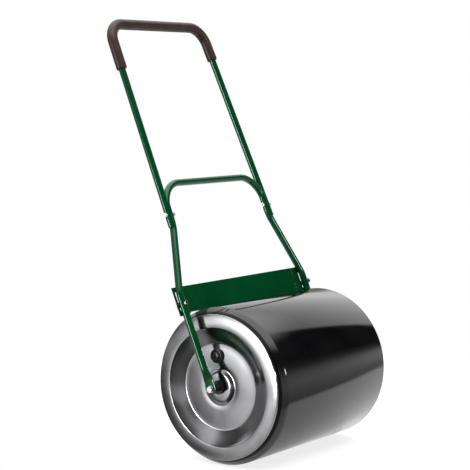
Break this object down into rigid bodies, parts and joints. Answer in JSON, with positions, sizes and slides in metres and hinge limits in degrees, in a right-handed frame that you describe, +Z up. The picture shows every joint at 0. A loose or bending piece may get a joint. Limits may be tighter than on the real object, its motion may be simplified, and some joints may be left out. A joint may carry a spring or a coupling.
{
  "type": "lawn roller",
  "caption": "Hand lawn roller: hollow water-fillable steel drum on a through axle, with a leaning tubular push frame, slotted scraper plate and foam-covered U handle.",
  "frame": {"origin": "on the ground, under the middle of the drum's axle", "axes": "+X along the axle to the right-hand end, +Y backwards towards the handle, +Z up"},
  "size_m": [0.5, 0.5337, 0.9848],
  "materials": {
    "black_enamel": "glossy baked enamel",
    "green_paint": "gloss paint",
    "bright_zinc": "bright zinc plate",
    "axle_steel": "drawn steel",
    "dark_nylon": "moulded satin",
    "brown_foam": "satin foam rubber",
    "black_rubber": "matt"
  },
  "bodies": {
    "frame": {"axle_rod": "axle_steel", "spacer_left": "axle_steel", "spacer_right": "axle_steel", "axle_washer_left": "bright_zinc", "axle_washer_right": "bright_zinc", "axle_bolt_left": "bright_zinc", "axle_bolt_right": "bright_zinc", "lower_frame": "green_paint", "upper_handle": "green_paint", "grip": "brown_foam", "handle_bolt_left": "bright_zinc", "handle_bolt_right": "bright_zinc", "handle_nut_left": "bright_zinc", "handle_nut_right": "bright_zinc", "scraper_bolt_left": "bright_zinc", "scraper_bolt_right": "bright_zinc", "scraper_washer_left": "bright_zinc", "scraper_washer_right": "bright_zinc", "scraper_nut_left": "bright_zinc", "scraper_nut_right": "bright_zinc"},
    "drum": {"drum_shell": "black_enamel", "end_cap_left": "black_enamel", "end_cap_right": "black_enamel", "axle_tube": "axle_steel", "bush_left": "dark_nylon", "bush_right": "dark_nylon", "filler_neck": "axle_steel"},
    "plug": {"filler_plug": "dark_nylon", "plug_seal": "black_rubber"},
    "scraper": {"scraper_plate": "green_paint"}
  },
  "joints": [
    {"name": "drum_roll", "type": "hinge", "parent": "frame", "child": "drum", "pos_m": [0, 0, 0.175], "axis": [1, 0, 0], "continuous": true},
    {"name": "plug_out", "type": "slide", "parent": "drum", "child": "plug", "axis": [-1, 0, 0], "range_m": [0, 0.0145]},
    {"name": "scraper_set", "type": "slide", "parent": "frame", "child": "scraper", "axis": [0, 0.3923, 0.9198], "range_m": [-0.001, 0.009]}
  ]
}
